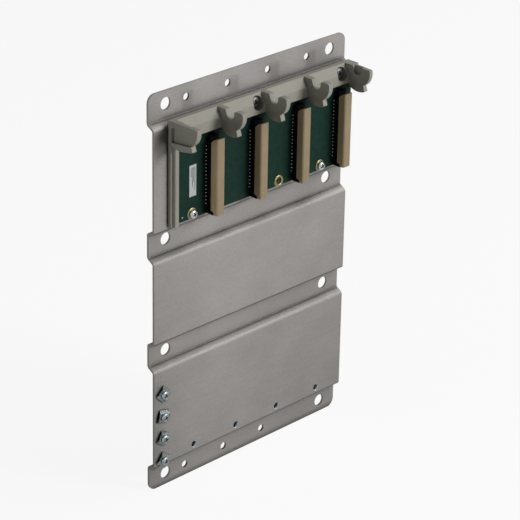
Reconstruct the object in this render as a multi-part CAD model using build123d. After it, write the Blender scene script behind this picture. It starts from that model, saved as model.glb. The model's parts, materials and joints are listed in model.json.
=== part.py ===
from build123d import *
import os
from math import cos, radians, sin, tan

# Rack for a small modular controller: a folded mounting plate, a moulded hook rail
# that the modules hang on, a backplane board with one socket for each slot,
# threaded inserts for the modules' lower screws, and four earth terminals.
# Millimetres. X runs right along the slots, Z up, the wall is at y = 0 and the
# front faces -Y. The origin is the middle of the plate's back.

# Slots, side by side along X
slot_count = 4
slot_pitch = 40.64
left_margin = 12.8       # plate edge to the first hook
right_margin = 8.64      # last hook's left face to the plate's edge

# Folded plate: heights from the top edge down, each to the middle of a joggle
sheet = 1.6
joggle_depth = 5.3
top_band = 21.4
upper_panel = 74.5
upper_mid_band = 19.5
middle_panel = 61.5
lower_mid_band = 18.7
lower_panel = 74.9
bottom_band = 19.5
plate_corner = 6.0
out_angle = 60.0         # slope of the joggle above a raised panel
out_radius = 2.0         # its bends, at mid thickness
in_angle = 80.0          # slope of the joggle below a raised panel
in_radius = 1.55

# Plain holes in the plate's bands
wall_hole_radius = 4.4
wall_hole_inset = 15.25  # from the side edges
wall_hole_margin = 9.0   # from the top and bottom edges
upper_mid_rise = 11.25   # middle holes above the joggle below them
lower_mid_rise = 9.75
small_hole_radius = 2.6
small_hole_pitch = 37.53
small_hole_inset = 33.57
small_hole_margin = 8.5  # the lower row's distance from the bottom edge
top_small_holes = 4
bottom_small_holes = 3

# Hook rail: the bar's section
bar_rise = 3.0           # bar's top above the joggle's middle
bar_height = 13.5
bar_depth = 7.3
bar_chamfer_drop = 6.1   # where the sloped upper face starts, below the top
bar_top_depth = 3.0
bar_end_overhang = 6.74  # bar's right end beyond the last hook's left face

# Hook rail: the left side rail and the ledges that carry the board
rail_foot = 2.9          # rail's lower end above the lower joggle's middle
flange_width = 2.1
flange_depth = 2.4
rib_width = 3.2
rib_depth = 4.6
ledge_width = 4.0
rail_overhang = 0.2      # side rail's outer face beyond the first hook's

# Hooks, side view: depths from the panel's face, drops from the bar's top
hook_reach = 26.2
hook_root_thickness = 4.2
hook_tip_thickness = 3.6
notch_setback = 11.2     # notch's centre behind the hook's front
notch_radius = 3.6
notch_sink = 2.2         # notch's centre below the top
notch_rear_lean = 16.0   # lean of the notch's walls, degrees
notch_front_lean = 7.0
horn_crown = 0.65        # rise of the horn over the bar's top
front_bulge = 2.3        # bow of the front beyond its chord
neck_setback = 5.5
neck_drop = 12.3
toe_setback = 4.1
toe_drop = 16.4
belly_drop = 17.8
heel_depth = 8.8
heel_drop = 16.0
hook_edge = 0.4          # bevel of the hooks' outline corners

# End hooks
first_heel_drop = 18.7   # the first hook's belly runs on into the side rail
first_heel_depth = 9.3
web = 0.8                # wall between the first hook's two pockets
pocket_rim = 1.7
pocket_depth = 2.3
pocket_rear = 2.75
pocket_top_drop = 4.4
pocket_bottom_drop = 14.7
last_notch_pocket = 2.1
last_block_depth = 9.5   # the last hook's thick root reaches this far forward
last_root_thickness = 4.1
last_tip_thickness = 2.7

# Recesses in the bar for the screws that hold it
recess_offset = 6.0      # left of every second hook's left face
recess_drop = 6.3
recess_radius = 4.9
recess_floor = 2.4

# Pan head screws: shank radius, head radius, head height
rail_screw = (1.9, 4.0, 2.2)
board_screw = (1.5, 3.2, 2.4)
ground_screw = (1.9, 3.2, 1.9)
drive_radius = 1.5       # cross recess
drive_width = 0.7
drive_depth = 0.9
hole_clearance = 0.2
screw_end = 2.0          # thread that shows behind the sheet

# Backplane board
board_thickness = 1.6
board_lift = 2.4
board_rise = 4.9         # board's lower edge above the lower joggle's middle
board_right_inset = 2.5
board_gap = 0.2
eyelet_offset = 17.7     # from the hook's left face
eyelet_rise = 3.3
eyelet_radius = 4.3
eyelet_bore = 2.8
eyelet_height = 0.5
standoff_width = 6.5     # hexagonal spacer, across its flats

# Label at the board's left
label_offset = 14.8
label_rise = 15.7
label_width = 6.2
label_height = 22.2
label_thickness = 0.2

# Slot sockets
socket_offset = 30.7     # socket's left face from the hook's left face
socket_width = 7.1
base_depth = 4.0
base_top_gap = 3.9       # base's top below the board's top
foot_reach = 2.6         # base's foot beyond its front
foot_height = 2.9        # at the base's front
foot_tip = 2.1
body_depth = 10.0        # body's front above the board's face
body_foot = 0.5          # body's lower end above the base's
body_cap = 0.4           # body's upper end below the base's
shoulder_reach = 2.4     # the body's upper end is cut back behind this point
shoulder_drop = 1.6      # that point below the base's top
shoulder_foot = 3.9      # rear end of the cut below the base's top
body_edge = 0.7

# Hexagonal threaded inserts fixed behind the plate, for the modules' lower screws
insert_bore = 2.1
insert_width = 7.6       # across its flats
insert_length = 3.4
insert_mouth = 3.0       # plate's hole over an insert
insert_rise = 5.6        # above the lower joggle's middle
insert_offset = 24.36    # from the hook's left face

# Earth terminals
ground_count = 4
ground_pitch = 16.87
ground_inset = 7.7
ground_rise = 4.7        # lowest one above the joggle's middle
clamp_size = 9.2
clamp_flat = 4.8         # flat middle, between the two bent ends
clamp_rise = 1.3
clamp_sheet = 0.8
clamp_turns = (45.0, 15.0, 30.0, 38.0)   # they sit loosely, each turned a little

# Widths, levels and heights that follow
slots_width = slot_count * slot_pitch
plate_width = left_margin + slots_width + right_margin
plate_left = -plate_width / 2
plate_right = plate_width / 2
plate_height = (top_band + upper_panel + upper_mid_band + middle_panel
                + lower_mid_band + lower_panel + bottom_band)
plate_top = plate_height / 2
plate_bottom = -plate_height / 2
upper_panel_top = plate_top - top_band
upper_panel_bottom = upper_panel_top - upper_panel
middle_panel_top = upper_panel_bottom - upper_mid_band
middle_panel_bottom = middle_panel_top - middle_panel
lower_panel_top = middle_panel_bottom - lower_mid_band
lower_panel_bottom = lower_panel_top - lower_panel
panels = ((upper_panel_top, upper_panel_bottom),
          (middle_panel_top, middle_panel_bottom),
          (lower_panel_top, lower_panel_bottom))
face = sheet + joggle_depth      # depth of the raised panels' front

hook_lefts = [plate_left + left_margin + slot_pitch * i for i in range(slot_count + 1)]
slot_lefts = hook_lefts[:-1]
bar_top = upper_panel_top + bar_rise
bar_bottom = bar_top - bar_height
bar_left = hook_lefts[0] - rail_overhang
bar_right = hook_lefts[-1] + bar_end_overhang
notch_depth = hook_reach - notch_setback
neck_depth = hook_reach - neck_setback
toe_depth = hook_reach - toe_setback
plan_reach = hook_reach + front_bulge

board_left = bar_left + flange_width + rib_width
board_right = plate_right - board_right_inset
board_bottom = upper_panel_bottom + board_rise
board_top = bar_bottom - board_gap
board_back = face + board_lift
board_front = board_back + board_thickness
eyelet_slots = [i for i in range(slot_count) if i != 1]
board_screw_slots = [eyelet_slots[0], eyelet_slots[-1]]
base_top = board_top - base_top_gap


# Helpers: slabs drawn from the front or from the side, and round rods along Y
def front_slab(outline, depth, thickness):
    plane = Plane(origin=(0, -depth, 0), x_dir=(1, 0, 0), z_dir=(0, -1, 0))
    return extrude(plane * outline, thickness)


def side_slab(outline, left, width):
    plane = Plane(origin=(left, 0, 0), x_dir=(0, -1, 0), z_dir=(-1, 0, 0))
    return extrude(plane * outline, width, dir=(1, 0, 0))


def rod(x, z, depth, length, radius):
    return front_slab(Pos(x, z) * Circle(radius), depth, length)


def block(left, right, bottom, top, depth, thickness):
    middle = Pos((left + right) / 2, (bottom + top) / 2)
    return front_slab(middle * Rectangle(right - left, top - bottom), depth, thickness)


def hexagon_tube(x, z, depth, length, bore, width):
    outline = RegularPolygon(width / 2, 6, major_radius=False) - Circle(bore)
    return front_slab(Pos(x, z) * outline, depth, length)


def ease(outline, points, length):
    corners = [outline.vertices().sort_by_distance((*point, 0))[0] for point in points]
    return chamfer(corners, length)


# Mounting plate
def sheet_surface(offset):
    # One face of the folded sheet from the top edge down; offset is from mid thickness
    level = sheet / 2 + offset
    points = [(level, plate_top)]
    radii = []
    for top, bottom in panels:
        for height, angle, radius, way in ((top, out_angle, out_radius, 1),
                                           (bottom, in_angle, in_radius, -1)):
            half_run = joggle_depth / tan(radians(angle)) / 2
            shift = way * offset * tan(radians(angle) / 2)
            start = 0 if way > 0 else joggle_depth
            end = joggle_depth - start
            points.append((level + start, height + half_run + shift))
            points.append((level + end, height - half_run + shift))
            radii.append(radius - way * offset)
            radii.append(radius + way * offset)
    points.append((level, plate_bottom))
    return FilletPolyline(*points, radius=radii)


def plate_holes():
    # Places and radii of every plain hole: wall holes, then the small ones
    wall_top = plate_top - wall_hole_margin
    wall_bottom = plate_bottom + wall_hole_margin
    rows = (wall_top, middle_panel_top + upper_mid_rise, lower_panel_top + lower_mid_rise, wall_bottom)
    edge = plate_right - wall_hole_inset
    holes = [(x, z, wall_hole_radius) for z in rows for x in (-edge, edge)]
    first = plate_left + small_hole_inset
    for count, z in ((top_small_holes, wall_top), (bottom_small_holes, plate_bottom + small_hole_margin)):
        holes += [(first + small_hole_pitch * i, z, small_hole_radius) for i in range(count)]
    return holes


def mounting_plate():
    front = sheet_surface(sheet / 2)
    back = sheet_surface(-sheet / 2)
    ends = [Line(front @ 0, back @ 0), Line(front @ 1, back @ 1)]
    plate = side_slab(make_face([front, back, *ends]), plate_left, plate_width)
    plate = fillet(plate.edges().filter_by(Axis.Y), plate_corner)
    holes = plate_holes()
    holes += [(x, z, rail_screw[0]) for x, z in recess_places()]
    holes += [(x, z, insert_mouth) for x, z in insert_places()]
    holes += [(x, z, ground_screw[0]) for x, z in ground_places()]
    return plate - [rod(x, z, -sheet, face + 2 * sheet, radius) for x, z, radius in holes]


# Places, as x and z
def recess_places():
    return [(x - recess_offset, bar_top - recess_drop) for x in hook_lefts[2::2]]


def eyelet_places():
    return [(slot_lefts[i] + eyelet_offset, board_bottom + eyelet_rise) for i in eyelet_slots]


def insert_places():
    return [(x + insert_offset, lower_panel_bottom + insert_rise) for x in slot_lefts]


def ground_places():
    top = lower_panel_bottom + ground_rise + ground_pitch * (ground_count - 1)
    return [(plate_left + ground_inset, top - ground_pitch * i) for i in range(ground_count)]


# Hook rail, one moulding
def notch_lines():
    # The notch that a module's hanging bar drops into, from its rear mouth to its front mouth
    walls = []
    for side, angle in ((-1, notch_rear_lean), (1, notch_front_lean)):
        lean = radians(angle)
        drop = notch_sink + notch_radius * sin(lean)
        reach = notch_radius * cos(lean)
        mouth = reach + drop * tan(lean)
        walls.append(((notch_depth + side * mouth, 0), (notch_depth + side * reach, -drop)))
    (rear_mouth, rear_foot), (front_mouth, front_foot) = walls
    floor_arc = ThreePointArc(rear_foot, (notch_depth, -notch_sink - notch_radius), front_foot)
    return [Line(rear_mouth, rear_foot), floor_arc, Line(front_foot, front_mouth)]


def hook_belly(heel):
    # Front, neck, toe and belly, from the horn's tip back to the heel inside the bar
    tip = Vector(hook_reach, 0)
    neck = Vector(neck_depth, -neck_drop)
    toe = Vector(toe_depth, -toe_drop)
    chord = neck - tip
    bow = Vector(-chord.Y, chord.X).normalized() * front_bulge
    front = ThreePointArc(tip, tip + chord / 2 + bow, neck)
    belly = ThreePointArc(toe, ((toe_depth + heel[0]) / 2, -belly_drop), heel)
    return [front, Line(neck, toe), belly]


def open_hook_outline():
    # A hook between two slots, cut right through by its notch
    notch = notch_lines()
    tip = (hook_reach, 0)
    mouth = notch[2] @ 1
    horn = ThreePointArc(mouth, ((mouth.X + hook_reach) / 2, horn_crown), tip)
    heel = (heel_depth, -heel_drop)
    root = Polyline(heel, (bar_depth, -bar_height), (0, -bar_height), (0, 0), notch[0] @ 0)
    outline = make_face([root, *notch, horn, *hook_belly(heel)])
    return ease(outline, [notch[0] @ 0, mouth, tip, (toe_depth, -toe_drop)], hook_edge)


def closed_hook_outline(heel, heel_foot):
    # An end hook: its outer wall has a straight top
    top = Line((0, 0), (hook_reach, 0))
    root = Polyline(heel, heel_foot, (0, heel_foot[1]), (0, 0))
    outline = make_face([top, root, *hook_belly(heel)])
    return ease(outline, [(hook_reach, 0), (toe_depth, -toe_drop)], hook_edge)


def notch_outline():
    notch = notch_lines()
    rear = notch[0] @ 0
    front = notch[2] @ 1
    lid = Polyline(front, (front.X, notch_radius), (rear.X, notch_radius), rear)
    return make_face([*notch, lid])


def pocket_outline():
    # The recess in the first hook's outer face, a rim's width inside its outline
    top_front = (hook_reach - 2 * pocket_rim, -pocket_rim)
    arc_middle = (hook_reach - pocket_rim, -neck_drop / 2)
    bottom_front = (neck_depth - pocket_rim, -neck_drop - pocket_rim / 2)
    arc = ThreePointArc(top_front, arc_middle, bottom_front)
    rear = Polyline(bottom_front, (pocket_rear, -pocket_bottom_drop),
                    (pocket_rear, -pocket_top_drop), top_front)
    return make_face([arc, rear])


def hook_blank(outline, plan, left, width):
    # The side outline, kept inside the tapered plan view
    slab = side_slab(Pos(face, bar_top) * outline, left, width)
    plan_plane = Plane(origin=(left, -face, bar_top), x_dir=(1, 0, 0), z_dir=(0, 0, 1))
    wedge = extrude(plan_plane * make_face(Polyline(*plan, close=True)), 2 * belly_drop, both=True)
    return slab & wedge


def tapered_plan(root_thickness, tip_thickness):
    inset = (root_thickness - tip_thickness) / 2
    return [(0, 0), (root_thickness, 0), (root_thickness - inset, -plan_reach), (inset, -plan_reach)]


def middle_hook(left):
    plan = tapered_plan(hook_root_thickness, hook_tip_thickness)
    return hook_blank(open_hook_outline(), plan, left, hook_root_thickness)


def first_hook(left):
    heel = (first_heel_depth, -first_heel_drop)
    outline = closed_hook_outline(heel, (flange_depth, -first_heel_drop + pocket_rim))
    plan = tapered_plan(hook_root_thickness, hook_tip_thickness)
    hook = hook_blank(outline, plan, left, hook_root_thickness)
    notch_from = left + pocket_depth + web
    return hook - side_slab(Pos(face, bar_top) * notch_outline(), notch_from, hook_root_thickness)


def last_hook(left):
    width = bar_right - left
    heel = (heel_depth, -heel_drop)
    outline = closed_hook_outline(heel, (bar_depth, -bar_height))
    plan = [(0, 0), (width, 0), (width, -last_block_depth), (last_root_thickness, -last_block_depth),
            (last_tip_thickness, -plan_reach), (0, -plan_reach)]
    hook = hook_blank(outline, plan, left, width)
    notch = side_slab(Pos(face, bar_top) * notch_outline(), left, last_notch_pocket)
    return hook - notch


def bar():
    section = Polyline((0, 0), (bar_top_depth, 0), (bar_depth, -bar_chamfer_drop),
                       (bar_depth, -bar_height), (0, -bar_height), close=True)
    return side_slab(Pos(face, bar_top) * make_face(section), bar_left, bar_right - bar_left)


def side_rail():
    foot = upper_panel_bottom + rail_foot
    rib_left = bar_left + flange_width
    flange = block(bar_left, rib_left, foot, bar_top, face, flange_depth)
    rib = block(rib_left, board_left, foot, bar_bottom, face, rib_depth)
    side_ledge = block(board_left, board_left + ledge_width, board_bottom, bar_bottom, face, board_lift)
    top_ledge = block(board_left, bar_right, bar_bottom - ledge_width, bar_bottom, face, board_lift)
    return [flange, rib, side_ledge, top_ledge]


def hook_rail():
    hooks = [middle_hook(x) for x in hook_lefts[1:-1]]
    rail = bar() + side_rail() + [first_hook(hook_lefts[0]), *hooks, last_hook(hook_lefts[-1])]
    rail -= side_slab(Pos(face, bar_top) * pocket_outline(), bar_left, rail_overhang + pocket_depth)
    for x, z in recess_places():
        rail -= rod(x, z, face + recess_floor, bar_depth, recess_radius)
        rail -= rod(x, z, face, recess_floor, rail_screw[0] + hole_clearance)
    return rail


# Pan head screw along Y: its head sits at the seat's depth, its shank ends at the tip's
def pan_screw(x, z, size, seat, tip):
    shank_radius, head_radius, head_height = size
    head = rod(x, z, seat, head_height, head_radius)
    arms = Pos(x, z) * (Rectangle(2 * drive_radius, drive_width) + Rectangle(drive_width, 2 * drive_radius))
    recess = front_slab(arms, seat + head_height - drive_depth, drive_depth)
    return head - recess + rod(x, z, tip, seat - tip, shank_radius)


# Backplane board and what it carries
def backplane_board():
    board = block(board_left, board_right, board_bottom, board_top, board_back, board_thickness)
    return board - [rod(x, z, board_back, board_thickness, eyelet_bore) for x, z in eyelet_places()]


def eyelet(x, z):
    ring = Circle(eyelet_radius) - Circle(eyelet_bore)
    return front_slab(Pos(x, z) * ring, board_front, eyelet_height)


def standoff(x, z):
    return hexagon_tube(x, z, face, board_lift, board_screw[0], standoff_width)


def label():
    left = slot_lefts[0] + label_offset
    bottom = board_bottom + label_rise
    return block(left, left + label_width, bottom, bottom + label_height, board_front, label_thickness)


def socket_base(left):
    # Side view, depths from the board's face: a slab with a foot
    foot_depth = base_depth + foot_reach
    points = ((0, board_bottom), (foot_depth, board_bottom), (foot_depth, board_bottom + foot_tip),
              (base_depth, board_bottom + foot_height), (base_depth, base_top), (0, base_top))
    outline = make_face(Polyline(*points, close=True))
    return side_slab(Pos(board_front, 0) * outline, left, socket_width)


def socket_body(left):
    # The contact housing, seated on the base and its foot and cut back at the top
    foot_depth = base_depth + foot_reach
    low = board_bottom + body_foot
    points = ((base_depth, board_bottom + foot_height), (foot_depth, board_bottom + foot_tip),
              (foot_depth, low), (body_depth, low), (body_depth, base_top - body_cap),
              (base_depth + shoulder_reach, base_top - shoulder_drop), (base_depth, base_top - shoulder_foot))
    outline = make_face(Polyline(*points, close=True))
    body = side_slab(Pos(board_front, 0) * outline, left, socket_width)
    return chamfer(body.edges().group_by(Axis.Y)[0].filter_by(Axis.Z), body_edge)


# Earth terminal: a saddle clamp under a pan head screw
def ground_clamp(x, z, turn):
    half = clamp_size / 2
    flat = clamp_flat / 2
    low = [(-half, 0), (-flat, clamp_rise), (flat, clamp_rise), (half, 0)]
    high = [(u, height + clamp_sheet) for u, height in reversed(low)]
    outline = make_face(Polyline(*low, *high, close=True))
    end_plane = Plane(origin=(-half, 0, 0), x_dir=(0, 0, 1), z_dir=(1, 0, 0))
    saddle = extrude(end_plane * outline, clamp_size)
    saddle -= rod(0, 0, 0, clamp_rise + clamp_sheet, ground_screw[0] + hole_clearance)
    return Pos(x, -face, z) * Rot(0, turn, 0) * saddle


# Every node and its solid
nodes = {
    "mounting_plate": mounting_plate(),
    "hook_rail": hook_rail(),
    "backplane_board": backplane_board(),
    "label_blank": label(),
    "board_standoffs": Compound(children=[standoff(x, z) for x, z in eyelet_places()]),
}

for number, (x, z) in enumerate(recess_places(), 1):
    nodes[f"rail_screw_{number}"] = pan_screw(x, z, rail_screw, face + recess_floor, joggle_depth - screw_end)

for number, (x, z) in enumerate(eyelet_places(), 1):
    nodes[f"board_eyelet_{number}"] = eyelet(x, z)

for number, slot in enumerate(board_screw_slots, 1):
    x, z = eyelet_places()[eyelet_slots.index(slot)]
    nodes[f"board_screw_{number}"] = pan_screw(x, z, board_screw, board_front + eyelet_height, face)

for number, slot_left in enumerate(slot_lefts, 1):
    socket_left = slot_left + socket_offset
    nodes[f"socket_base_{number}"] = socket_base(socket_left)
    nodes[f"socket_body_{number}"] = socket_body(socket_left)

for number, (x, z) in enumerate(insert_places(), 1):
    depth = joggle_depth - insert_length
    nodes[f"module_insert_{number}"] = hexagon_tube(x, z, depth, insert_length, insert_bore, insert_width)

for number, (x, z) in enumerate(ground_places(), 1):
    turn = clamp_turns[(number - 1) % len(clamp_turns)]
    nodes[f"ground_clamp_{number}"] = ground_clamp(x, z, turn)
    seat = face + clamp_rise + clamp_sheet
    nodes[f"ground_screw_{number}"] = pan_screw(x, z, ground_screw, seat, joggle_depth - screw_end)

for name, solid in nodes.items():
    export_step(solid, f"parts/{name}.step")
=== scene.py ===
import json
import math

import bmesh
import bpy
from mathutils import Matrix, Vector


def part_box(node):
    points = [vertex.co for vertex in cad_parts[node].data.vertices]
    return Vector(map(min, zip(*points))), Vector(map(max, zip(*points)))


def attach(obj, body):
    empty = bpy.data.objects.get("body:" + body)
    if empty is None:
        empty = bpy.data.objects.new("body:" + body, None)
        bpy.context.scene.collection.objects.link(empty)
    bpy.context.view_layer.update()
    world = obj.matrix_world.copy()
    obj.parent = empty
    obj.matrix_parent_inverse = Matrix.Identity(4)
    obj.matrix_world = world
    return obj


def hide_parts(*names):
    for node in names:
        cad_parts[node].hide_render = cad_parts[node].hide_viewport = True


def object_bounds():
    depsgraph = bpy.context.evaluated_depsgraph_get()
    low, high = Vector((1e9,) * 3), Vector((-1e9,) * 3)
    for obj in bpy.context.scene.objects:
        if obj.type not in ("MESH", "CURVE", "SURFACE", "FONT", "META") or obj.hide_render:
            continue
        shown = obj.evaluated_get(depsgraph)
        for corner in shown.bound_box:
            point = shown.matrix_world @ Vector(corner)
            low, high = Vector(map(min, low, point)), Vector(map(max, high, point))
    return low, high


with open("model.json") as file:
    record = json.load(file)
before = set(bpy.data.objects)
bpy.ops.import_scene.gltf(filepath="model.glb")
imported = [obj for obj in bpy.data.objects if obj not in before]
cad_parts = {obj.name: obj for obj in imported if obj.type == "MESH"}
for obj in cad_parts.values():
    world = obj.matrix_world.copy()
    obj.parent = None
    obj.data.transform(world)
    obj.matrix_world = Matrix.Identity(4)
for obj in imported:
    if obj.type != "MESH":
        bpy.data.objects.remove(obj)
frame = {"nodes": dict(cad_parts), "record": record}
cad_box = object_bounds()

MM = 0.001


# Camera: where the photograph was taken from, worked out from points of the rack in it
CAMERA_PLACE = Vector((-1.05040, -1.04035, 0.68418))
CAMERA_AZIMUTH = math.radians(-45.66)
CAMERA_ELEVATION = math.radians(24.81)
CAMERA_ROLL = math.radians(1.08)
CAMERA_REACH = 20.0
FOCAL_PIXELS = 2371.0
IMAGE_PIXELS = 520.0
SENSOR_MM = 36.0


def make_camera():
    data = bpy.data.cameras.new("camera")
    data.sensor_width = SENSOR_MM
    data.lens = FOCAL_PIXELS / IMAGE_PIXELS * SENSOR_MM
    data.clip_end = CAMERA_REACH
    camera = bpy.data.objects.new("camera", data)
    bpy.context.collection.objects.link(camera)
    bpy.context.scene.camera = camera
    back = Vector((math.sin(CAMERA_AZIMUTH) * math.cos(CAMERA_ELEVATION),
                   -math.cos(CAMERA_AZIMUTH) * math.cos(CAMERA_ELEVATION),
                   math.sin(CAMERA_ELEVATION)))
    level = Vector((math.cos(CAMERA_AZIMUTH), math.sin(CAMERA_AZIMUTH), 0.0))
    upright = back.cross(level)
    right = math.cos(CAMERA_ROLL) * level + math.sin(CAMERA_ROLL) * upright
    up = back.cross(right)
    rotation = Matrix((right, up, back)).transposed()
    camera.matrix_world = Matrix.Translation(CAMERA_PLACE) @ rotation.to_4x4()


# Lights: a key from the right and above, a top light, and a low one from the left
KEY_PLACE = Vector((1.1, -2.35, 1.15))
KEY_SIZE = 0.9
KEY_WATTS = 57.0
TOP_PLACE = Vector((1.25, -0.6, 1.4))
TOP_SIZE = 1.2
TOP_WATTS = 13.0
LEFT_PLACE = Vector((-2.0, 0.1, 0.25))
LEFT_SIZE = 0.6
LEFT_WATTS = 7.0


def make_light(name, place, size, watts):
    # A square light that points at the frame's origin
    data = bpy.data.lights.new(name, "AREA")
    data.shape = "SQUARE"
    data.size = size
    data.energy = watts
    light = bpy.data.objects.new(name, data)
    bpy.context.collection.objects.link(light)
    light.location = place
    light.rotation_mode = "QUATERNION"
    light.rotation_quaternion = (-place).to_track_quat("-Z", "Y")


# Node helpers that the surroundings and the materials share
def feed(tree, socket, value):
    # A number or a colour is set on the socket, anything else is linked to it
    if isinstance(value, (int, float)):
        socket.default_value = value
    elif isinstance(value, tuple):
        socket.default_value = (*value, 1.0)
    else:
        tree.links.new(value, socket)


def math_node(tree, operation, *values):
    node = tree.nodes.new("ShaderNodeMath")
    node.operation = operation
    for socket, value in zip(node.inputs, values):
        feed(tree, socket, value)
    return node.outputs[0]


def largest(tree, shares):
    whole = shares[0]
    for share in shares[1:]:
        whole = math_node(tree, "MAXIMUM", whole, share)
    return whole


# Surroundings
ROOM_LEVEL = 0.045         # for matt surfaces; metal and gloss see the white backdrop
BACKDROP_LEVEL = 1.0
FLOOR_SIZE = 12.0
FLOOR_WHITE = 0.9          # share of plain white that the camera sees in the floor
FLOOR_GREY = 0.82
FLOOR_ROUGHNESS = 0.9


def sees_backdrop(tree):
    # 1 for rays from the camera and for reflections, 0 for the rest
    path = tree.nodes.new("ShaderNodeLightPath")
    mirrored = math_node(tree, "MAXIMUM", path.outputs["Is Glossy Ray"], path.outputs["Is Transmission Ray"])
    return math_node(tree, "MAXIMUM", path.outputs["Is Camera Ray"], mirrored)


def mix_shaders(tree, share, first, second, output):
    # Share 0 shows the first shader and share 1 the second
    mix = tree.nodes.new("ShaderNodeMixShader")
    tree.links.new(share, mix.inputs["Fac"])
    tree.links.new(first, mix.inputs[1])
    tree.links.new(second, mix.inputs[2])
    tree.links.new(mix.outputs[0], output.inputs["Surface"])


def white_light(tree, kind, strength):
    node = tree.nodes.new(kind)
    feed(tree, node.inputs["Color"], (1.0, 1.0, 1.0))
    node.inputs["Strength"].default_value = strength
    return node.outputs[0]


def make_room():
    # The world shows white to the camera and to reflections and lights the rest at a plain grey level
    world = bpy.data.worlds.new("room")
    bpy.context.scene.world = world
    world.use_nodes = True
    tree = world.node_tree
    tree.nodes.clear()
    output = tree.nodes.new("ShaderNodeOutputWorld")
    dim = white_light(tree, "ShaderNodeBackground", ROOM_LEVEL)
    bright = white_light(tree, "ShaderNodeBackground", BACKDROP_LEVEL)
    mix_shaders(tree, sees_backdrop(tree), dim, bright, output)


def make_floor(height):
    mesh = bpy.data.meshes.new("floor")
    half = FLOOR_SIZE / 2
    corners = [(-half, -half, height), (half, -half, height), (half, half, height), (-half, half, height)]
    mesh.from_pydata(corners, [], [(0, 1, 2, 3)])
    floor = bpy.data.objects.new("floor", mesh)
    bpy.context.collection.objects.link(floor)
    material, tree, shader = start_material("floor", FLOOR_ROUGHNESS, specular=0.0)
    material.cycles.emission_sampling = "NONE"
    feed(tree, shader.inputs["Base Color"], grey(FLOOR_GREY))
    glow = white_light(tree, "ShaderNodeEmission", BACKDROP_LEVEL)
    share = math_node(tree, "MULTIPLY", sees_backdrop(tree), FLOOR_WHITE)
    mix_shaders(tree, share, shader.outputs[0], glow, tree.nodes["Material Output"])
    mesh.materials.append(material)


# Material helpers
NOISE_ENDS = (0.3, 0.7)     # most values of a noise lie between these
OPENNESS_SAMPLES = 8
SOFT_EDGE = 0.18 * MM       # radius that softens the edges of the mouldings
MIX_FACTOR = 0              # sockets of the colour mixing node
MIX_FIRST = 6
MIX_SECOND = 7
MIX_RESULT = 2


def start_material(name, roughness, metallic=0.0, specular=0.5):
    material = bpy.data.materials.new(name)
    material.use_nodes = True
    tree = material.node_tree
    shader = tree.nodes["Principled BSDF"]
    shader.inputs["Roughness"].default_value = roughness
    shader.inputs["Metallic"].default_value = metallic
    shader.inputs["Specular IOR Level"].default_value = specular
    return material, tree, shader


def place_of(tree, stretch=(1.0, 1.0, 1.0)):
    # Where a point lies on the object, in metres, stretched by axis
    coords = tree.nodes.new("ShaderNodeTexCoord")
    mapping = tree.nodes.new("ShaderNodeMapping")
    mapping.inputs["Scale"].default_value = stretch
    tree.links.new(coords.outputs["Object"], mapping.inputs["Vector"])
    return mapping.outputs["Vector"]


def split(tree, vector):
    # Its outputs are called X, Y and Z
    node = tree.nodes.new("ShaderNodeSeparateXYZ")
    tree.links.new(vector, node.inputs["Vector"])
    return node.outputs


def facing(tree):
    # The surface's own direction, by axis
    coords = tree.nodes.new("ShaderNodeTexCoord")
    return split(tree, coords.outputs["Normal"])


def noise(tree, place, scale, detail=3.0, roughness=0.55):
    node = tree.nodes.new("ShaderNodeTexNoise")
    node.inputs["Scale"].default_value = scale
    node.inputs["Detail"].default_value = detail
    node.inputs["Roughness"].default_value = roughness
    tree.links.new(place, node.inputs["Vector"])
    return node.outputs["Fac"]


def grey(level, warmth=0.0):
    return (level * (1.0 + warmth), level, level * (1.0 - warmth))


def ramp(tree, value, *stops):
    # Stops are (position, colour)
    node = tree.nodes.new("ShaderNodeValToRGB")
    elements = node.color_ramp.elements
    while len(elements) < len(stops):
        elements.new(1.0)
    for element, (position, colour) in zip(elements, stops):
        element.position = position
        element.color = (*colour, 1.0)
    tree.links.new(value, node.inputs["Fac"])
    return node.outputs["Color"]


def two_tone(tree, value, dark, light, ends=NOISE_ENDS):
    # From dark to light between the two ends
    return ramp(tree, value, (ends[0], dark), (ends[1], light))


def shades(tree, value, *stops):
    # A ramp of plain greys; stops are (position, level)
    return ramp(tree, value, *[(position, grey(level)) for position, level in stops])


def rescale(tree, value, low, high, source=NOISE_ENDS):
    # Low and high are the results at the two ends of source
    node = tree.nodes.new("ShaderNodeMapRange")
    node.inputs["From Min"].default_value = source[0]
    node.inputs["From Max"].default_value = source[1]
    node.inputs["To Min"].default_value = low
    node.inputs["To Max"].default_value = high
    tree.links.new(value, node.inputs["Value"])
    return node.outputs["Result"]


def progress(tree, value, start, end):
    # 0 at the start and 1 at the end
    return rescale(tree, value, low=0.0, high=1.0, source=(start, end))


def vary_roughness(tree, shader, value, low, high):
    tree.links.new(rescale(tree, value, low, high), shader.inputs["Roughness"])


def blend(tree, mode, factor, first, second):
    node = tree.nodes.new("ShaderNodeMix")
    node.data_type = "RGBA"
    node.blend_type = mode
    for socket, value in ((MIX_FACTOR, factor), (MIX_FIRST, first), (MIX_SECOND, second)):
        feed(tree, node.inputs[socket], value)
    return node.outputs[MIX_RESULT]


def darken(tree, tone, shade, share=1.0):
    return blend(tree, "MULTIPLY", share, tone, shade)


def bump(tree, shader, height, distance, strength, edge=0.0):
    # Fine relief; edge is the radius in metres that softens sharp edges
    node = tree.nodes.new("ShaderNodeBump")
    node.inputs["Strength"].default_value = strength
    node.inputs["Distance"].default_value = distance
    tree.links.new(height, node.inputs["Height"])
    if edge:
        bevel = tree.nodes.new("ShaderNodeBevel")
        bevel.inputs["Radius"].default_value = edge
        tree.links.new(bevel.outputs["Normal"], node.inputs["Normal"])
    tree.links.new(node.outputs["Normal"], shader.inputs["Normal"])


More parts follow.
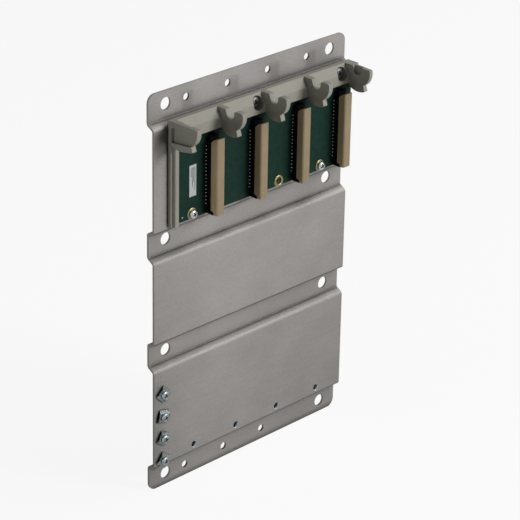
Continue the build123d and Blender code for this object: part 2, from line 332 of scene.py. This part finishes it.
def between(tree, value, low, high):
    above = math_node(tree, "GREATER_THAN", value, low)
    below = math_node(tree, "LESS_THAN", value, high)
    return math_node(tree, "MULTIPLY", above, below)


def openness(tree, reach, local=True):
    # 1 on open faces, less in folds, bores and recesses; local leaves out other parts; reach in metres
    node = tree.nodes.new("ShaderNodeAmbientOcclusion")
    node.samples = OPENNESS_SAMPLES
    node.only_local = local
    node.inputs["Distance"].default_value = reach
    return node.outputs["AO"]


# Sheet steel; each stop is a place on its scale and the level there
STEEL_TONES = (grey(0.245, warmth=0.045), grey(0.275, warmth=0.05))
STEEL_ROUGHNESS = 0.42
STEEL_SPREAD = 0.85        # how much further reflections spread across the grain than along it
GRAIN_STRETCH = (90.0, 90.0, 1500.0)
GRIT_STRETCH = (700.0, 700.0, 2600.0)
GRIT_STOPS = ((0.35, 0.8), (0.65, 1.03))
GRIT_SHARE = 0.8
CLOUD_STRETCH = (1.0, 1.0, 1.4)
CLOUD_STOPS = ((0.25, 0.9), (0.75, 1.0))
BESIDE_REACH = 7 * MM      # painted shade beside the parts that stand on the sheet
BESIDE_STOPS = ((0.35, 0.1), (0.88, 1.0))
FOLD_REACHES = ((6 * MM, 0.8, 0.97), (2 * MM, 0.82, 0.96))    # reach, openness at full shading and at none
FOLD_LEVEL = 0.2
FOLD_LEANS = (0.02, 0.2)   # between these upward directions a face's share of that shading grows
FOLD_SHARES = (0.06, 1.0)
# Painted shade on faces that look down: its level, and the directions where it is full and where it ends
UNDERSIDE_LEVEL = 0.3
UNDERSIDE_LEANS = (-0.5, -0.12)
# Painted shade towards the foot: place on the height and level
FOOT_STOPS = ((0.0, 0.72), (0.75, 1.0))
# Painted shade towards the left side: place across and level
SIDE_STOPS = ((0.0, 0.78), (0.3, 1.0), (1.0, 1.02))
FRONT_FACING = -0.5        # the front's faces point further than this along Y

# Faint darker patches on the top band, by their middles along X, and their height on the plate
PATCHES = (-0.0574, -0.0155, 0.0226, 0.0575)
PATCH_HEIGHT = 0.1335
PATCH_HALF = (0.0055, 0.0065)
PATCH_DEPTH = 0.22
PATCH_EDGE = (0.55, 1.15)  # where a patch begins and ends to fade, as shares of its half width


def distance(tree, value, middle, half):
    # How far a coordinate lies from the middle, as a share of the half width
    off = math_node(tree, "ABSOLUTE", math_node(tree, "SUBTRACT", value, middle))
    return math_node(tree, "DIVIDE", off, half)


def patch_marks(tree, place):
    half_x, half_z = PATCH_HALF
    marks = []
    for patch in PATCHES:
        aside = distance(tree, place["X"], patch, half_x)
        away = math_node(tree, "MAXIMUM", aside, distance(tree, place["Z"], PATCH_HEIGHT, half_z))
        marks.append(rescale(tree, away, low=PATCH_DEPTH, high=0.0, source=PATCH_EDGE))
    return largest(tree, marks)


def sheet_steel():
    # Bare sheet with a fine grain along X and cloudy handling marks; painted shade darkens it beside the
    # parts on it, in its folds, on faces that look down, towards the foot and towards the left
    low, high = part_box("mounting_plate")
    material, tree, shader = start_material("sheet_steel", STEEL_ROUGHNESS, metallic=1.0)
    shader.inputs["Anisotropic"].default_value = STEEL_SPREAD
    upright = tree.nodes.new("ShaderNodeCombineXYZ")
    upright.inputs["Z"].default_value = 1.0
    tree.links.new(upright.outputs["Vector"], shader.inputs["Tangent"])
    grain = noise(tree, place_of(tree, GRAIN_STRETCH), scale=1.0, detail=4.0, roughness=0.7)
    grit = noise(tree, place_of(tree, GRIT_STRETCH), scale=1.0, detail=2.0, roughness=0.6)
    clouds = noise(tree, place_of(tree, CLOUD_STRETCH), scale=26.0)
    tone = darken(tree, two_tone(tree, grain, *STEEL_TONES), shades(tree, grit, *GRIT_STOPS), GRIT_SHARE)
    tone = darken(tree, tone, shades(tree, clouds, *CLOUD_STOPS))
    direction = facing(tree)
    # Painted shade: darker beside the parts that stand on the sheet
    tone = darken(tree, tone, shades(tree, openness(tree, BESIDE_REACH, local=False), *BESIDE_STOPS))
    slopes = rescale(tree, direction["Z"], *FOLD_SHARES, source=FOLD_LEANS)
    # Painted shade in the folds, fullest on faces that look up
    for reach, closed, wide in FOLD_REACHES:
        folds = shades(tree, openness(tree, reach), (closed, FOLD_LEVEL), (wide, 1.0))
        tone = darken(tree, tone, folds, slopes)
    # Painted shade: faces that look down are darker
    below = rescale(tree, direction["Z"], low=1.0, high=0.0, source=UNDERSIDE_LEANS)
    tone = darken(tree, tone, grey(UNDERSIDE_LEVEL), below)
    place = split(tree, place_of(tree))
    # Painted shade: darker towards the foot
    tone = darken(tree, tone, shades(tree, progress(tree, place["Z"], low.z, high.z), *FOOT_STOPS))
    # Painted shade: darker towards the left side
    tone = darken(tree, tone, shades(tree, progress(tree, place["X"], low.x, high.x), *SIDE_STOPS))
    front = math_node(tree, "LESS_THAN", direction["Y"], FRONT_FACING)
    tone = darken(tree, tone, grey(0.0), math_node(tree, "MULTIPLY", patch_marks(tree, place), front))
    tree.links.new(tone, shader.inputs["Base Color"])
    vary_roughness(tree, shader, clouds, low=0.46, high=0.5)
    bump(tree, shader, grit, distance=0.02 * MM, strength=0.35)
    return material


# Mouldings and plating
RAIL_TONES = ((0.262, 0.254, 0.214), (0.285, 0.276, 0.236))
SPECKLE_STOPS = ((0.35, 0.93), (0.65, 1.0))


def grey_moulding():
    # Light grey moulding with a fine spark-eroded grain and soft edges
    material, tree, shader = start_material("grey_moulding", roughness=0.5, specular=0.25)
    base = two_tone(tree, noise(tree, place_of(tree), scale=45.0), *RAIL_TONES)
    grain = noise(tree, place_of(tree), scale=1500.0, roughness=0.6)
    tree.links.new(darken(tree, base, shades(tree, grain, *SPECKLE_STOPS)), shader.inputs["Base Color"])
    vary_roughness(tree, shader, grain, low=0.45, high=0.6)
    bump(tree, shader, grain, distance=0.04 * MM, strength=0.5, edge=SOFT_EDGE)
    return material


MOTTLE_ENDS = (0.4, 0.6)
HOLLOW_START = 0.35        # openness below which the painted shade in a bore or recess is darkest


def plated(name, level, tint, roughness, darkest=0.8, scale=900.0, hollow=0.08, reach=2 * MM, open_at=0.9):
    # Zinc, brass or tin plating: mottled, with painted shade in its bores and recesses; hollow is how light
    # that painted shade leaves them
    material, tree, shader = start_material(name, roughness, metallic=1.0)
    mottle = noise(tree, place_of(tree), scale, detail=4.0, roughness=0.65)
    low = tuple(level * darkest * c for c in tint)
    high = tuple(level * c for c in tint)
    tone = two_tone(tree, mottle, low, high, ends=MOTTLE_ENDS)
    painted_recess_shade = shades(tree, openness(tree, reach), (HOLLOW_START, hollow), (open_at, 1.0))
    tree.links.new(darken(tree, tone, painted_recess_shade), shader.inputs["Base Color"])
    vary_roughness(tree, shader, mottle, low=roughness * 0.8, high=roughness * 1.3)
    bump(tree, shader, mottle, distance=0.03 * MM, strength=0.5)
    return material


# The board
MASK_TONES = ((0.009, 0.027, 0.019), (0.012, 0.035, 0.026))
TRACE_GREEN = (0.014, 0.039, 0.029)
TRACE_SHARE = 0.2
TRACE_PITCH = 2.54 * MM
TRACE_EDGE = (0.1, 0.4)    # of the wave that draws the traces
LAMINATE = (0.09, 0.1, 0.05)
EDGE_FACING = 0.5          # the board's cut edges point less than this along Y
# Painted shade beside the parts on the board: reach, openness and level
BOARD_REACH = 12 * MM
BOARD_STOPS = ((0.45, 0.12), (0.95, 1.0))


def board_green():
    # Solder mask over bus traces that run from socket to socket; the cut edge shows the laminate; painted
    # shade darkens it beside the parts on it
    material, tree, shader = start_material("board_green", roughness=0.45, specular=0.03)
    turns = math_node(tree, "MULTIPLY", split(tree, place_of(tree))["Z"], 2 * math.pi / TRACE_PITCH)
    traces = progress(tree, math_node(tree, "SINE", turns), *TRACE_EDGE)
    mask = two_tone(tree, noise(tree, place_of(tree), scale=320.0, detail=2.0), *MASK_TONES)
    lit = blend(tree, "MIX", math_node(tree, "MULTIPLY", traces, TRACE_SHARE), mask, TRACE_GREEN)
    edge = math_node(tree, "LESS_THAN", math_node(tree, "ABSOLUTE", facing(tree)["Y"]), EDGE_FACING)
    # Painted shade beside the sockets and other parts on the board
    beside = shades(tree, openness(tree, BOARD_REACH, local=False), *BOARD_STOPS)
    tone = darken(tree, blend(tree, "MIX", edge, lit, LAMINATE), beside)
    tree.links.new(tone, shader.inputs["Base Color"])
    bump(tree, shader, traces, distance=0.02 * MM, strength=0.4)
    return material


# Painted light on the sides: how far a face points along X where it starts and where it is full
FLANK_LEANS = (0.4, 0.9)


def plain_moulding(name, dark, light, roughness, specular, edge=SOFT_EDGE, sides=0.0):
    # Sides is the share by which faces that point along X are brighter: painted light on the sides
    material, tree, shader = start_material(name, roughness, specular=specular)
    tone = two_tone(tree, noise(tree, place_of(tree), scale=120.0), dark, light)
    if sides:
        aside = math_node(tree, "ABSOLUTE", facing(tree)["X"])
        painted_side_light = rescale(tree, aside, low=0.0, high=sides, source=FLANK_LEANS)
        tone = blend(tree, "ADD", painted_side_light, tone, light)
    tree.links.new(tone, shader.inputs["Base Color"])
    grain = noise(tree, place_of(tree), scale=2200.0, detail=2.0)
    vary_roughness(tree, shader, grain, low=roughness * 0.85, high=roughness * 1.2)
    bump(tree, shader, grain, distance=0.02 * MM, strength=0.4, edge=edge)
    return material


# Rules of the label: place across, start and end along, as shares of its sides
LABEL_RULES = ((0.22, 0.62, 0.9), (0.4, 0.3, 0.92), (0.58, 0.45, 0.92), (0.76, 0.2, 0.92))
RULE_WIDTH = 0.08
RULE_DEPTH = 0.92
RULE_COLOUR = (0.05, 0.055, 0.055)
FILM_TONES = ((0.41, 0.435, 0.445), (0.47, 0.495, 0.505))


def label_film():
    # Pale film with plain rules along it
    material, tree, shader = start_material("label_film", roughness=0.5, specular=0.2)
    low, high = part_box("label_blank")
    place = split(tree, place_of(tree))
    across = progress(tree, place["X"], low.x, high.x)
    along = progress(tree, place["Z"], low.z, high.z)
    rules = []
    for left, start, end in LABEL_RULES:
        inside = between(tree, across, left, left + RULE_WIDTH)
        rules.append(math_node(tree, "MULTIPLY", inside, between(tree, along, start, end)))
    fibres = noise(tree, place_of(tree), scale=700.0)
    ink = math_node(tree, "MULTIPLY", largest(tree, rules), RULE_DEPTH)
    tone = blend(tree, "MIX", ink, two_tone(tree, fibres, *FILM_TONES), RULE_COLOUR)
    tree.links.new(tone, shader.inputs["Base Color"])
    bump(tree, shader, fibres, distance=0.01 * MM, strength=0.4)
    return material


def make_finishes():
    # By the record's material slot, or by the kind of piece where one looks different
    return {
        "plate_steel": sheet_steel(),
        "grey_moulding": grey_moulding(),
        "rail_screw": plated("dark_zinc", level=0.17, tint=(0.98, 1.0, 0.95), roughness=0.45,
                             darkest=0.5, hollow=0.35),
        "solder_tails": plated("solder", level=0.6, tint=(1.0, 1.0, 0.97), roughness=0.5),
        "ground_screw": plated("blue_zinc", level=0.36, tint=(0.9, 1.0, 1.02), roughness=0.36,
                               darkest=0.45, hollow=0.3),
        "module_insert": plated("insert_zinc", level=0.4, tint=(0.92, 1.0, 1.04), roughness=0.3,
                                darkest=0.6, hollow=0.01, reach=5 * MM, open_at=0.55),
        "earth_sign": plated("stamped_steel", level=0.33, tint=(1.02, 1.0, 0.98), roughness=0.4),
        "screw_zinc": plated("screw_zinc", level=0.5, tint=(0.97, 1.0, 1.0), roughness=0.25, darkest=0.7),
        "clamp_zinc": plated("clamp_zinc", level=0.27, tint=(0.9, 1.0, 1.03), roughness=0.38,
                             darkest=0.3, scale=600.0),
        "eyelet_brass": plated("eyelet_brass", level=0.32, tint=(1.0, 0.86, 0.4), roughness=0.33,
                               darkest=0.55),
        "board_green": board_green(),
        "label_pale": label_film(),
        "socket_black": plain_moulding("socket_black", dark=grey(0.004), light=grey(0.006),
                                       roughness=0.4, specular=0.03),
        "socket_beige": plain_moulding("socket_beige", dark=(0.252, 0.196, 0.118),
                                       light=(0.284, 0.222, 0.136), roughness=0.5, specular=0.2,
                                       edge=0.2 * MM, sides=0.4),
    }


def dress_nodes(finishes):
    # Every CAD node keeps its shape and takes the finish of its material slot
    for part in frame["record"]["subparts"]:
        node = frame["nodes"][part["node"]]
        node.data.materials.clear()
        node.data.materials.append(finishes[part["material_slot"]])


# Mesh helpers: pieces are turned about axes along Y; depths run forward from the wall, in millimetres
SMOOTH_BELOW = math.radians(35.0)


def add_piece(name, form, slot, replaced=None, finish=None):
    # Finish names a look other than the slot's own
    mesh = bpy.data.meshes.new(name)
    bmesh.ops.recalc_face_normals(form, faces=form.faces)
    form.to_mesh(mesh)
    form.free()
    mesh.shade_smooth()
    mesh.set_sharp_from_angle(angle=SMOOTH_BELOW)
    piece = bpy.data.objects.new(name, mesh)
    bpy.context.collection.objects.link(piece)
    mesh.materials.append(finishes[finish or slot])
    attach(piece, "root")
    if replaced:
        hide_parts(replaced)
    return piece


def spot(x, z, depth, radius=0.0, angle=0.0):
    # A point of the frame in metres, given in millimetres, off the axis by radius at angle
    return Vector(((x + radius * math.cos(angle)) * MM, -depth * MM, (z + radius * math.sin(angle)) * MM))


def make_ring(form, x, z, depth, radius, sides):
    return [form.verts.new(spot(x, z, depth, radius, 2 * math.pi * i / sides)) for i in range(sides)]


def join_rings(form, first, second):
    count = len(first)
    for i in range(count):
        j = (i + 1) % count
        form.faces.new((first[i], first[j], second[j], second[i]))


def fill_between(form, outer, inner):
    # A flat face between two rings, which may have different counts
    edges = []
    for ring in (outer, inner):
        for pair in zip(ring, ring[1:] + ring[:1]):
            edges.append(form.edges.get(pair) or form.edges.new(pair))
    bmesh.ops.triangle_fill(form, edges=edges, use_beauty=True)


def turn(form, x, z, profile, sides, closed=False):
    # Revolves a profile of (radius, depth); open ends get a flat cap
    rings = [make_ring(form, x, z, depth, radius, sides) for radius, depth in profile]
    for first, second in zip(rings, rings[1:]):
        join_rings(form, first, second)
    if closed:
        join_rings(form, rings[-1], rings[0])
    else:
        form.faces.new(rings[0])
        form.faces.new(rings[-1])


def arc_points(centre, radius, start, end, steps):
    # Points on an arc in the plane of radius and depth, angles in degrees
    angles = [math.radians(start + (end - start) * i / steps) for i in range(steps + 1)]
    return [(centre[0] + radius[0] * math.cos(a), centre[1] + radius[1] * math.sin(a)) for a in angles]


def node_place(node):
    # Middle of a node as x and z, and its depths from the back to the front, in millimetres
    low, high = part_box(node)
    middle = (low + high) / 2
    return middle.x / MM, middle.z / MM, -high.y / MM, -low.y / MM


def node_radius(node):
    low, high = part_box(node)
    return (high.x - low.x) / MM / 2


THREAD_PITCH = 0.7
THREAD_SHARE = 0.14        # thread depth, as a share of the radius
THREAD_SIDES = 20
THREAD_STEPS = 5           # rows for each turn


def threaded_wall(form, x, z, radius, start, end, inside=False):
    # A helical thread as one wall; radius is its crest
    rows = max(2, round((end - start) / THREAD_PITCH * THREAD_STEPS))
    sign = 1.0 if inside else -1.0
    rings = []
    for row in range(rows + 1):
        depth = start + (end - start) * row / rows
        ring = []
        for side in range(THREAD_SIDES):
            share = side / THREAD_SIDES
            phase = (depth / THREAD_PITCH + share) % 1.0
            groove = 1.0 - abs(2.0 * phase - 1.0)
            reach = radius * (1.0 + sign * THREAD_SHARE * groove)
            ring.append(form.verts.new(spot(x, z, depth, reach, 2 * math.pi * share)))
        rings.append(ring)
    for first, second in zip(rings, rings[1:]):
        join_rings(form, first, second)
    return rings[0], rings[-1]


# Screws: (shank radius, head height) by kind; head radius and ends come from the CAD node
SCREW_KINDS = {"rail_screw": (1.9, 2.2), "board_screw": (1.5, 2.4), "ground_screw": (1.9, 1.9)}
HEAD_SIDES = 48
HEAD_FOOT = 0.97           # the head's radius at its seat, as a share
HEAD_FOOT_HEIGHT = 0.1     # shares of the head's height
HEAD_RIM_HEIGHT = 0.38
HEAD_FLAT = 0.35           # radius where the dome ends, as a share
DOME_STEPS = 8
DRIVE_WIDTH = 0.85
DRIVE_DEPTH = 1.3
DRIVE_SHARE = 0.6          # the cross recess's reach, as a share of the head's radius
DRIVE_TAPER = 0.45
DRIVE_TURN = 20.0          # degrees


def cross_cutter(x, z, top, reach):
    # A tapered cross that opens towards the front
    form = bmesh.new()
    half = DRIVE_WIDTH / 2
    corner = [(reach, -half), (reach, half), (half, half)]
    rings = []
    for depth, share in ((top - DRIVE_DEPTH, DRIVE_TAPER), (top + DRIVE_DEPTH, 2 - DRIVE_TAPER)):
        ring = []
        for quarter in range(4):
            a = math.radians(90.0 * quarter + DRIVE_TURN)
            for u, v in corner:
                along = u * share if u > half else u
                px = along * math.cos(a) - v * math.sin(a)
                pz = along * math.sin(a) + v * math.cos(a)
                ring.append(form.verts.new(spot(x + px, z + pz, depth)))
        rings.append(ring)
    join_rings(form, rings[0], rings[1])
    form.faces.new(rings[0])
    form.faces.new(rings[1])
    bmesh.ops.recalc_face_normals(form, faces=form.faces)
    mesh = bpy.data.meshes.new("cutter")
    form.to_mesh(mesh)
    form.free()
    cutter = bpy.data.objects.new("cutter", mesh)
    bpy.context.collection.objects.link(cutter)
    return cutter


def carve(piece, cutter):
    cut = piece.modifiers.new("recess", "BOOLEAN")
    cut.operation = "DIFFERENCE"
    cut.solver = "EXACT"
    cut.object = cutter
    graph = bpy.context.evaluated_depsgraph_get()
    carved = bpy.data.meshes.new_from_object(piece.evaluated_get(graph))
    carved.name = piece.name
    piece.modifiers.clear()
    piece.data = carved
    carved.set_sharp_from_angle(angle=SMOOTH_BELOW)
    bpy.data.objects.remove(cutter)


def make_screw(node, kind):
    # A domed pan head with a cross recess on a threaded shank
    shank, height = SCREW_KINDS[kind]
    x, z, tip, top = node_place(node)
    radius = node_radius(node)
    seat = top - height
    rim = seat + HEAD_RIM_HEIGHT * height
    dome = arc_points((HEAD_FLAT * radius, rim), ((1 - HEAD_FLAT) * radius, top - rim), 0.0, 90.0,
                      DOME_STEPS)
    foot = [(HEAD_FOOT * radius, seat), (radius, seat + HEAD_FOOT_HEIGHT * height)]
    form = bmesh.new()
    turn(form, x, z, [*foot, *dome], HEAD_SIDES)
    finish = kind if kind in finishes else "screw_zinc"
    piece = add_piece(node + "_head", form, "screw_zinc", node, finish)
    carve(piece, cross_cutter(x, z, top, DRIVE_SHARE * radius))
    form = bmesh.new()
    for end in threaded_wall(form, x, z, shank, tip, seat):
        form.faces.new(end)
    add_piece(node + "_shank", form, "screw_zinc", node, finish)


# Eyelets: a rolled ring on the board and a barrel through it
EYELET_BARREL = 2.75       # the barrel's outer radius, just inside the board's bore
EYELET_WALL = 0.3
EYELET_SIDES = 56
EYELET_STEPS = 12


def make_eyelet(node):
    x, z, back, front = node_place(node)
    outer = node_radius(node)
    board_back = -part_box("backplane_board")[1].y / MM
    inner = EYELET_BARREL - EYELET_WALL
    roll = (outer - EYELET_BARREL + EYELET_WALL) / 2
    arch = arc_points((outer - roll, back), (roll, front - back), 0.0, 180.0, EYELET_STEPS)
    profile = [*arch, (inner, board_back), (EYELET_BARREL, board_back), (EYELET_BARREL, back)]
    form = bmesh.new()
    turn(form, x, z, profile, EYELET_SIDES, closed=True)
    add_piece(node + "_rolled", form, "eyelet_brass", node)


# Solder tails of each socket, in a row on the board at the socket's left
TAIL_COUNT = 17
TAIL_PITCH = 2.54
TAIL_WIDTH = 0.42
TAIL_HEIGHT = 0.7
TAIL_GAP = 0.6
TAIL_SIDES = 4
TAIL_TIP = 0.15            # height of the tapered tip
TAIL_TIP_SHARE = 0.6
FILLET_RADIUS = 0.33
FILLET_HEIGHT = 0.2
FILLET_SIDES = 12
FILLET_WAIST = (0.62, 0.4)    # shares of the solder's radius and height


def make_tails(number):
    low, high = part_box(f"socket_base_{number}")
    x = low.x / MM - TAIL_GAP - TAIL_WIDTH / 2
    middle = (low.z + high.z) / 2 / MM
    board = -high.y / MM
    half = TAIL_WIDTH / math.sqrt(2)
    solder_top = board + FILLET_HEIGHT
    tail_top = board + TAIL_HEIGHT
    waist, waist_height = FILLET_WAIST
    solder = [(FILLET_RADIUS, board), (waist * FILLET_RADIUS, board + waist_height * FILLET_HEIGHT),
              (half, solder_top)]
    tail = [(half, solder_top), (half, tail_top - TAIL_TIP), (TAIL_TIP_SHARE * half, tail_top)]
    form = bmesh.new()
    for i in range(TAIL_COUNT):
        z = middle + TAIL_PITCH * (i - (TAIL_COUNT - 1) / 2)
        turn(form, x, z, solder, FILLET_SIDES)
        turn(form, x, z, tail, TAIL_SIDES)
    add_piece(f"solder_tails_{number}", form, "screw_zinc", finish="solder_tails")


# Threaded inserts: the hexagon behind the sheet, with a collar that fills the sheet's hole
INSERT_BORE = 2.1
INSERT_MOUTH = 3.0         # radius of the sheet's hole
INSERT_CHAMFER = 0.35
INSERT_FLATS = 6
SHEET = 1.6                # the sheet's thickness
SEAT_GAP = 0.05


def make_insert(node):
    x, z, back, front = node_place(node)
    collar = INSERT_MOUTH - SEAT_GAP
    chamfer = INSERT_BORE + INSERT_CHAMFER
    face = front + SHEET
    form = bmesh.new()
    start, end = back + INSERT_CHAMFER, face - INSERT_CHAMFER
    crest, mouth = threaded_wall(form, x, z, INSERT_BORE, start, end, inside=True)
    hexagon = [make_ring(form, x, z, depth, node_radius(node), INSERT_FLATS) for depth in (back, front)]
    join_rings(form, *hexagon)
    sections = ((chamfer, back), (collar, front), (collar, face), (chamfer, face))
    rings = [make_ring(form, x, z, depth, radius, THREAD_SIDES) for radius, depth in sections]
    for first, second in ((rings[1], rings[2]), (rings[2], rings[3]), (rings[3], mouth), (rings[0], crest)):
        join_rings(form, first, second)
    fill_between(form, hexagon[0], rings[0])
    fill_between(form, hexagon[1], rings[1])
    add_piece(node + "_threaded", form, "clamp_zinc", node, "module_insert")


# Small marks: a test pad on the board, and the stamped earth sign by the terminals
PAD_PLACE = (-70.4, 56.9)
PAD_RADIUS = 0.55
PAD_TOP = 0.7              # radius of its flat top, as a share
PAD_HEIGHT = 0.06
PAD_SIDES = 16


def make_test_pad():
    board = -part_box("backplane_board")[0].y / MM
    profile = [(PAD_RADIUS, board), (PAD_RADIUS, board + PAD_HEIGHT / 2),
               (PAD_TOP * PAD_RADIUS, board + PAD_HEIGHT)]
    form = bmesh.new()
    turn(form, *PAD_PLACE, profile, PAD_SIDES)
    add_piece("test_pad", form, "screw_zinc")


EARTH_PLACE = (-84.5, -57.5)
EARTH_BARS = ((0.0, 4.6), (-1.2, 3.2), (-2.4, 1.8))    # drop and length of each bar
EARTH_STEM = 3.2
EARTH_WIDTH = 0.35
EARTH_RELIEF = 0.05


def make_earth_sign():
    face = -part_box("mounting_plate")[0].y / MM
    middle_x, middle_z = EARTH_PLACE
    strokes = [(middle_x, middle_z + drop, length, EARTH_WIDTH) for drop, length in EARTH_BARS]
    strokes.append((middle_x, middle_z + EARTH_STEM / 2, EARTH_WIDTH, EARTH_STEM))
    form = bmesh.new()
    for x, z, width, height in strokes:
        stretch = Matrix.Diagonal((width * MM, EARTH_RELIEF * MM, height * MM, 1.0))
        place = Matrix.Translation(spot(x, z, face + EARTH_RELIEF / 2))
        bmesh.ops.create_cube(form, size=1.0, matrix=place @ stretch)
    add_piece("earth_sign", form, "plate_steel", finish="earth_sign")


make_camera()
make_light("key", KEY_PLACE, KEY_SIZE, KEY_WATTS)
make_light("top", TOP_PLACE, TOP_SIZE, TOP_WATTS)
make_light("left", LEFT_PLACE, LEFT_SIZE, LEFT_WATTS)
make_room()
make_floor(cad_box[0].z)
finishes = make_finishes()
dress_nodes(finishes)

for name in sorted(frame["nodes"]):
    kind = name.rstrip("0123456789").rstrip("_")
    if kind in SCREW_KINDS:
        make_screw(name, kind)
    elif kind == "board_eyelet":
        make_eyelet(name)
    elif kind == "module_insert":
        make_insert(name)
    elif kind == "socket_base":
        make_tails(name.rsplit("_", 1)[1])
make_test_pad()
make_earth_sign()

bpy.context.scene.view_settings.view_transform = "Standard"
